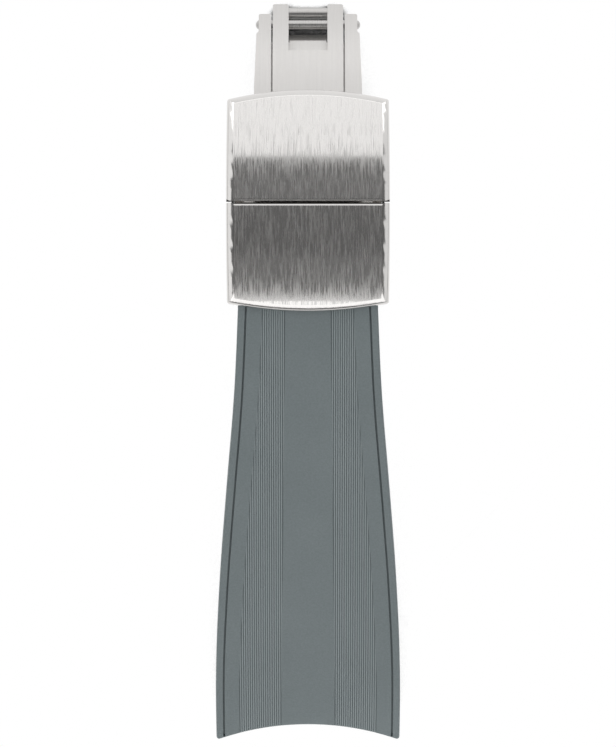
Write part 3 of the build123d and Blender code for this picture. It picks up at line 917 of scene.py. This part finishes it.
class StudioLight(bpy.types.PropertyGroup):
    """Levels of the studio's lamps."""

    rear_level: bpy.props.FloatProperty(
        name="Rear softbox", description="Radiance of the softbox beyond the clasp", default=0.91
    )
    front_level: bpy.props.FloatProperty(
        name="Front softbox", description="Radiance of the softbox beyond the lug end", default=1.18
    )
    glow_level: bpy.props.FloatProperty(
        name="Glow", description="Radiance of the softboxes' soft margins overhead", default=0.042
    )
    right_level: bpy.props.FloatProperty(
        name="Right softbox", description="Radiance of the softbox at the right", default=0.71
    )
    left_level: bpy.props.FloatProperty(
        name="Left softbox", description="Radiance of the softbox at the left", default=0.86
    )
    room_level: bpy.props.FloatProperty(
        name="Room", description="Strength of the room's even light", default=0.13
    )
    shadow_reach: bpy.props.FloatProperty(
        name="Shadow reach",
        description="How near a piece must be to darken the paper",
        default=30 * MM,
        unit="LENGTH",
        precision=4,
    )


class OBJECT_OT_model_rubber(bpy.types.Operator):
    """Model the rubber strap in place of its plain solid"""

    bl_idname = "strap.model_rubber"
    bl_label = "Rubber strap"

    def execute(self, context):
        form = context.scene.strap_form
        finish = context.scene.strap_finish
        piece = flat_strap(form)
        # The second material is the rubber painted lighter, a painted highlight on the rib crests
        for colours in (
            (finish.rubber_dark_code, finish.rubber_code),
            (finish.rib_highlight_dark_code, finish.rib_highlight_code),
        ):
            piece.data.materials.append(moulded_rubber(*colours))
        cut_grooves(piece)
        cut_bands(piece, form)
        bow(piece)
        fit_bars(piece)
        piece.data.transform(PLACE_AT_REST)
        finish_shape(piece, radians(32))
        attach(piece, "strap")
        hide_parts("rubber_strap")
        return {"FINISHED"}


def cover_outline():
    """Plan of the closed cover, with bowed ends and barely bulging sides."""
    side = COVER_HALF - COVER_BARREL
    rear = COVER_REAR - REAR_BOW
    front = COVER_FRONT + FRONT_BOW
    runs = (
        ((-side, rear), (side, rear), (0, REAR_BOW), COVER_END_STEPS),
        ((side, rear), (side, front), (COVER_BARREL, 0), COVER_SIDE_STEPS),
        ((side, front), (-side, front), (0, -FRONT_BOW), COVER_END_STEPS),
        ((-side, front), (-side, rear), (-COVER_BARREL, 0), COVER_SIDE_STEPS),
    )
    outline = []
    for start, stop, bow_out, steps in runs:
        for i in range(steps):
            t = i / steps
            outline.append(
                tuple(
                    a + (b - a) * t + c * 4 * t * (1 - t) for a, b, c in zip(start, stop, bow_out)
                )
            )
    return outline


def crown_blank(form, front):
    """Solid over the flap or the cover, with its bevel and roundings, and its top bowed last."""
    piece = block("crown_blank", cover_outline(), -COVER_HEIGHT, -BEVEL_DROP)
    edit(piece)
    choose(piece, "faces", lambda face: face.normal.z > 0.9)
    bpy.ops.mesh.inset(thickness=BEVEL_WIDTH, depth=BEVEL_DROP)
    stop_edit()
    side = COVER_HALF - BEVEL_WIDTH - 0.3 * MM
    for vertex in piece.data.vertices:
        if vertex.co.z > -TOUCH and abs(vertex.co.x) > side:
            vertex.co.x -= copysign(form.bevel_widening, vertex.co.x)
    edit(piece)
    for level, rounding, segments in (
        (0, form.crown_rounding, 3),
        (-BEVEL_DROP, form.cover_rounding, 6),
    ):
        choose(
            piece,
            "edges",
            lambda edge: all(abs(v.co.z - level) < TOUCH for v in edge.verts),
        )
        bpy.ops.mesh.bevel(offset=rounding, segments=segments, affect="EDGES")
    bpy.ops.mesh.select_all(action="SELECT")
    split = SPLIT_LINE - SPLIT_HALF if front else SPLIT_LINE + SPLIT_HALF
    bpy.ops.mesh.bisect(
        plane_co=(0, split, 0),
        plane_no=(0, 1 if front else -1, 0),
        use_fill=True,
        clear_outer=True,
        threshold=CUT,
    )
    choose(
        piece,
        "edges",
        lambda edge: all(
            abs(v.co.y - split) < TOUCH and abs(v.co.z) < TOUCH for v in edge.verts
        ),
    )
    bpy.ops.mesh.bevel(offset=form.split_rounding, segments=3, affect="EDGES")
    if not front:
        stop_edit()
        half, stop = COVER_HALF - LEDGE_INSET, split + MM
        under_flap = [(-half, COVER_FRONT), (half, COVER_FRONT), (half, stop), (-half, stop)]
        ledge = block("under_flap", under_flap, -COVER_HEIGHT + MM, LEDGE_LEVEL)
        combine(piece, ledge, "UNION")
        edit(piece)
    reach = SPLIT_LINE + COVER_STRIP / 2
    while reach > COVER_FRONT:
        reach -= COVER_STRIP
    while reach < COVER_REAR:
        bpy.ops.mesh.select_all(action="SELECT")
        bpy.ops.mesh.bisect(plane_co=(0, reach, 0), plane_no=(0, 1, 0), threshold=CUT)
        reach += COVER_STRIP
    stop_edit()
    for vertex in piece.data.vertices:
        vertex.co.z += sqrt(CROWN_RADIUS**2 - vertex.co.y**2)
    return piece


def welded_copy(node, name):
    """Copy of a CAD node, with its doubled vertices merged."""
    piece = bpy.data.objects.new(name, frame["nodes"][node].data.copy())
    bpy.context.scene.collection.objects.link(piece)
    piece.data.materials.clear()
    edit(piece)
    bpy.ops.mesh.customdata_custom_splitnormals_clear()
    bpy.ops.mesh.remove_doubles(threshold=WELD)
    stop_edit()
    return piece


def shape_shell(node, name, form):
    """Copy of a CAD node, cut by its crown blank."""
    piece = welded_copy(node, name)
    piece.data.transform(PLACE_AT_REST.inverted())
    combine(piece, crown_blank(form, node == "safety_flap"), "INTERSECT")
    edit(piece)
    bpy.ops.mesh.dissolve_limited(angle_limit=radians(0.25))
    stop_edit()
    return piece


class OBJECT_OT_model_cover(bpy.types.Operator):
    """Model the cover and its flap, with polished bevels round a brushed top"""

    bl_idname = "strap.model_cover"
    bl_label = "Cover and flap"

    def execute(self, context):
        form = context.scene.strap_form
        finish = context.scene.strap_finish
        brushed = brushed_steel(finish)
        polished = polished_steel(finish)
        pieces = (("clasp_cover", "cover_shell", "cover"), ("safety_flap", "flap_shell", "flap"))
        for node, name, body in pieces:
            piece = shape_shell(node, name, form)
            piece.data.materials.append(polished)
            piece.data.materials.append(brushed)
            for face in piece.data.polygons:
                spots = [piece.data.vertices[i].co for i in face.vertices]
                top = all(hypot(spot.y, spot.z) > CROWN_RADIUS - 0.001 * MM for spot in spots)
                face.material_index = int(top)
            piece.data.transform(PLACE_AT_REST)
            finish_shape(piece, radians(24))
            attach(piece, body)
            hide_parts(node)
        return {"FINISHED"}


class OBJECT_OT_finish_blades(bpy.types.Operator):
    """Finish the folded blades"""

    bl_idname = "strap.finish_blades"
    bl_label = "Blades"

    def execute(self, context):
        finish_nodes(BLADE_PIECES, satin_steel(context.scene.strap_finish))
        return {"FINISHED"}


class OBJECT_OT_finish_pins(bpy.types.Operator):
    """Finish the pins, bars, rivets and latch spring"""

    bl_idname = "strap.finish_pins"
    bl_label = "Pins and latch spring"

    def execute(self, context):
        finish = context.scene.strap_finish
        polished = turned_steel("Turned and polished steel", finish.steel_code, 0.1, 0.2)
        # Ground finish in the roughness; the darker base colour is painted shade
        ground = turned_steel("Turned and ground satin steel", finish.ground_shade_code, 0.26, 0.36)
        finish_nodes(PIN_PIECES, polished)
        finish_nodes(GROUND_PIECES, ground)
        finish_nodes(("latch_spring",), spring_steel(finish))
        return {"FINISHED"}


class OBJECT_OT_split_coil(bpy.types.Operator):
    """Split the bar's coil spring in two halves, both carried by the strap"""

    bl_idname = "strap.split_coil"
    bl_label = "Coil spring"

    def execute(self, context):
        material = spring_steel(context.scene.strap_finish)
        for side, sign in (("left", -1), ("right", 1)):
            piece = welded_copy(COIL, f"coil_{side}")
            piece.data.materials.append(material)
            edit(piece)
            bpy.ops.mesh.bisect(
                plane_co=(0, 0, 0),
                plane_no=(sign, 0, 0),
                use_fill=True,
                clear_inner=True,
                threshold=CUT,
            )
            stop_edit()
            finish_shape(piece, radians(30))
            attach(piece, "strap")
            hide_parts(COIL)
            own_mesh(piece)
        return {"FINISHED"}


def softbox(name, axis, start, stop, length, level):
    """Area lamp over the clasp that covers a range of angles from straight overhead.

    The angles tilt towards the clasp end for axis Y and towards the right for axis X.
    """
    middle = (start + stop) / 2
    lamp = bpy.data.lights.new(name, "AREA")
    lamp.shape = "RECTANGLE"
    width = 2 * LAMP_DISTANCE * tan(abs(stop - start) / 2)
    lamp.size, lamp.size_y = (length, width) if axis == "Y" else (width, length)
    lamp.energy = level * pi * lamp.size * lamp.size_y
    holder = bpy.data.objects.new(name, lamp)
    bpy.context.scene.collection.objects.link(holder)
    tilt = Matrix.Rotation(-middle, 4, "X") if axis == "Y" else Matrix.Rotation(middle, 4, "Y")
    holder.matrix_world = PLACE_AT_REST @ tilt @ Matrix.Translation((0, 0, LAMP_DISTANCE))
    holder.visible_camera = False


def floor_material(light):
    """Matte white paper, plain white in the open; under the object the lamps light it, and a
    painted dark grey shade darkens it further.

    In the open the camera sees the white background through it, so a piece that swings below
    it stays in sight. Polished steel sees it as a white glow, with a painted fall-off that dims it
    far off.
    """
    material, tree, shader = start_material("White paper sweep")
    place = add_node(tree, "ShaderNodeTexCoord").outputs["Object"]
    # Cloudiness of the pulp, some 8 mm across
    pulp = add_node(
        tree, "ShaderNodeTexNoise", {"Vector": place}, in_Scale=1 / (8 * MM), in_Detail=2.0
    )
    tone = add_node(tree, "ShaderNodeMix", {"Factor": pulp.outputs["Fac"]}, data_type="RGBA")
    tone.inputs["A"].default_value = linear("FBFBFB")
    tone.inputs["B"].default_value = linear("FFFFFF")
    openness = add_node(
        tree, "ShaderNodeAmbientOcclusion", samples=16, in_Distance=light.shadow_reach
    ).outputs["AO"]
    # Painted shade: where pieces crowd over the paper its own colour turns dark grey (202020), on
    # top of the lamps' real shadow
    painted_shade_mask = add_node(
        tree, "ShaderNodeMapRange", {"Value": openness}, in_1=0.42, in_2=0.5, in_3=0.0, in_4=1.0
    )
    shade = add_node(
        tree,
        "ShaderNodeMix",
        {"Factor": painted_shade_mask.outputs["Result"], "B": tone.outputs["Result"]},
        data_type="RGBA",
    )
    shade.inputs["A"].default_value = linear("202020")
    open_paper = add_node(
        tree,
        "ShaderNodeMapRange",
        {"Value": openness},
        interpolation_type="SMOOTHSTEP",
        in_1=0.42,
        in_2=0.52,
        in_3=0.0,
        in_4=1.0,
    )
    away = add_node(tree, "ShaderNodeVectorMath", {0: place}, operation="LENGTH")
    # Painted light fall-off: the paper's glow seen in steel dims from 1 to 0.66 away from the strap
    far = add_node(
        tree,
        "ShaderNodeMapRange",
        {"Value": away.outputs["Value"]},
        in_1=100 * MM,
        in_2=350 * MM,
        in_3=1.0,
        in_4=0.66,
    )
    path = add_node(tree, "ShaderNodeLightPath")
    mirrored = add_node(tree, "ShaderNodeEmission", {"Strength": far.outputs["Result"]})
    through = add_node(tree, "ShaderNodeBsdfTransparent")
    paper = add_node(
        tree,
        "ShaderNodeMixShader",
        {0: path.outputs["Is Camera Ray"], 1: mirrored.outputs[0], 2: through.outputs[0]},
    )
    glossy = add_node(
        tree,
        "ShaderNodeMath",
        {0: path.outputs["Is Camera Ray"], 1: path.outputs["Is Glossy Ray"]},
        operation="MAXIMUM",
    )
    seen = add_node(
        tree,
        "ShaderNodeMath",
        {0: glossy.outputs["Value"], 1: path.outputs["Is Transmission Ray"]},
        operation="MAXIMUM",
    )
    white = add_node(
        tree,
        "ShaderNodeMath",
        {0: seen.outputs["Value"], 1: open_paper.outputs["Result"]},
        operation="MULTIPLY",
    )
    mix = add_node(
        tree,
        "ShaderNodeMixShader",
        {0: white.outputs["Value"], 1: shader.outputs[0], 2: paper.outputs[0]},
    )
    tree.links.new(shade.outputs["Result"], shader.inputs["Base Color"])
    shader.inputs["Roughness"].default_value = 0.9
    output = next(node for node in tree.nodes if node.type == "OUTPUT_MATERIAL")
    tree.links.new(mix.outputs[0], output.inputs["Surface"])
    return material


def set_room(scene, light):
    """Dim room overhead, and a white background for the camera and, low down, for steel."""
    world = bpy.data.worlds.new("Studio")
    scene.world = world
    world.use_nodes = True
    tree = world.node_tree
    tree.nodes.clear()
    path = add_node(tree, "ShaderNodeLightPath")
    place = add_node(tree, "ShaderNodeTexCoord").outputs["Generated"]
    height = add_node(tree, "ShaderNodeSeparateXYZ", {"Vector": place})
    low = add_node(
        tree,
        "ShaderNodeMapRange",
        {"Value": height.outputs["Z"]},
        in_1=0.14,
        in_2=0.21,
        in_3=0.7,
        in_4=0.0,
    )
    bounced = add_node(
        tree,
        "ShaderNodeMath",
        {0: path.outputs["Is Glossy Ray"], 1: path.outputs["Is Transmission Ray"]},
        operation="MAXIMUM",
    )
    skirting = add_node(
        tree,
        "ShaderNodeMath",
        {0: bounced.outputs["Value"], 1: low.outputs["Result"]},
        operation="MULTIPLY",
    )
    seen = add_node(
        tree,
        "ShaderNodeMath",
        {0: skirting.outputs["Value"], 1: path.outputs["Is Camera Ray"]},
        operation="MAXIMUM",
    )
    room = add_node(tree, "ShaderNodeBackground", in_Strength=light.room_level)
    white = add_node(tree, "ShaderNodeBackground", in_Strength=1.0)
    room.inputs["Color"].default_value = (1, 1, 1, 1)
    white.inputs["Color"].default_value = (1, 1, 1, 1)
    mix = add_node(
        tree,
        "ShaderNodeMixShader",
        {0: seen.outputs["Value"], 1: room.outputs[0], 2: white.outputs[0]},
    )
    add_node(tree, "ShaderNodeOutputWorld", {"Surface": mix.outputs[0]})


class OBJECT_OT_set_stage(bpy.types.Operator):
    """Add the floor, the lamps and the camera"""

    bl_idname = "strap.set_stage"
    bl_label = "Stage"

    def execute(self, context):
        light = context.scene.studio_light
        bpy.ops.object.select_all(action="DESELECT")
        bpy.ops.mesh.primitive_plane_add(size=3.0, location=(0, 0, cad_box[0].z))
        floor = context.object
        floor.name = "floor"
        bpy.ops.object.transform_apply(location=True, rotation=True, scale=True)
        floor.data.materials.append(floor_material(light))
        glow = light.glow_level
        for name, angles, level in (
            ("rear_softbox", REAR_ANGLES, light.rear_level),
            ("front_softbox", FRONT_ANGLES, light.front_level),
            ("rear_glow", (REAR_GLOW_START, REAR_ANGLES[0]), glow),
            ("front_glow", (FRONT_GLOW_START, FRONT_ANGLES[0]), glow),
        ):
            softbox(name, "Y", *angles, END_LENGTH, level)
        for name, sign, level in (
            ("right_softbox", 1, light.right_level),
            ("left_softbox", -1, light.left_level),
        ):
            start, stop = SIDE_ANGLES
            softbox(name, "X", sign * start, sign * stop, SIDE_LENGTH, level)
        set_room(context.scene, light)
        context.scene.view_settings.view_transform = "Standard"
        set_camera()
        return {"FINISHED"}


def set_camera():
    """Camera square to the photograph's plane, with its frame height at the photo's scale."""
    camera = bpy.data.cameras.new("camera")
    camera.lens = SENSOR * CAMERA_DISTANCE / (PHOTO_HEIGHT_PX / PX_PER_MM * MM)
    camera.sensor_width = SENSOR
    camera.clip_start = 0.05
    camera.clip_end = 10.0
    holder = bpy.data.objects.new("camera", camera)
    bpy.context.scene.collection.objects.link(holder)
    holder.location = PLACE_AT_REST @ (VIEW_CENTRE + Vector((0, 0, CAMERA_DISTANCE)))
    holder.rotation_euler = (-PHOTO_PITCH, 0, 0)
    bpy.context.scene.camera = holder


class VIEW3D_PT_strap(bpy.types.Panel):
    """Lists the strap's sizes, finishes and steps in the sidebar"""

    bl_label = "Rubber Dive Strap"
    bl_space_type = "VIEW_3D"
    bl_region_type = "UI"
    bl_category = "Strap"

    def draw(self, context):
        column = self.layout.column()
        scene = context.scene
        for group in (scene.strap_form, scene.strap_finish, scene.studio_light):
            for name in group.__annotations__:
                column.prop(group, name)
        for step in STEPS:
            column.operator(step.bl_idname)


STEPS = (
    OBJECT_OT_model_rubber,
    OBJECT_OT_model_cover,
    OBJECT_OT_finish_blades,
    OBJECT_OT_finish_pins,
    OBJECT_OT_split_coil,
    OBJECT_OT_set_stage,
)
CLASSES = (StrapForm, StrapFinish, StudioLight, *STEPS, VIEW3D_PT_strap)


def register():
    for cls in CLASSES:
        bpy.utils.register_class(cls)
    bpy.types.Scene.strap_form = bpy.props.PointerProperty(type=StrapForm)
    bpy.types.Scene.strap_finish = bpy.props.PointerProperty(type=StrapFinish)
    bpy.types.Scene.studio_light = bpy.props.PointerProperty(type=StudioLight)


def unregister():
    del bpy.types.Scene.studio_light
    del bpy.types.Scene.strap_finish
    del bpy.types.Scene.strap_form
    for cls in reversed(CLASSES):
        bpy.utils.unregister_class(cls)


def main():
    """Run every step in order."""
    register()
    bpy.ops.strap.model_rubber()
    bpy.ops.strap.model_cover()
    bpy.ops.strap.finish_blades()
    bpy.ops.strap.finish_pins()
    bpy.ops.strap.split_coil()
    bpy.ops.strap.set_stage()


if __name__ == "__main__":
    main()
